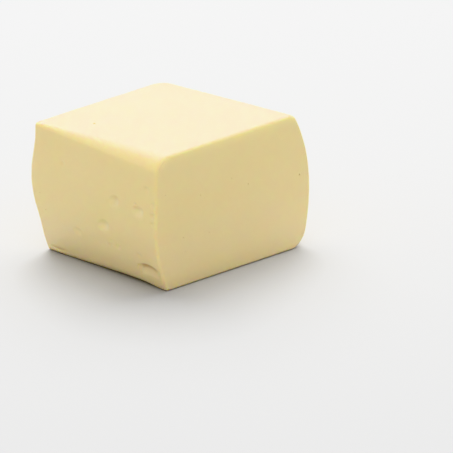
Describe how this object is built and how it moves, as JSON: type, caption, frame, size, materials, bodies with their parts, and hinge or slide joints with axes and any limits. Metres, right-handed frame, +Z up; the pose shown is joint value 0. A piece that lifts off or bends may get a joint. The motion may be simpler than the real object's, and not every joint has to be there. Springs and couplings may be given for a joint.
{
  "type": "block of mozzarella cheese",
  "caption": "Block cut from a loaf of firm mozzarella, with bowed moulded sides, soft dents and flat cut ends.",
  "frame": {"origin": "middle of the block's outline seen from above, on the flat base it rests on", "axes": "+Z up, X along the loaf from one knife cut to the other, -Y towards the moulded front with the dents, +X out of the cut face that shows"},
  "size_m": [0.1466, 0.1666, 0.1086],
  "materials": {
    "cheese": "smooth, faintly moist and translucent fresh cheese"
  },
  "bodies": {
    "root": {"mozzarella_block": "cheese"}
  },
  "joints": []
}
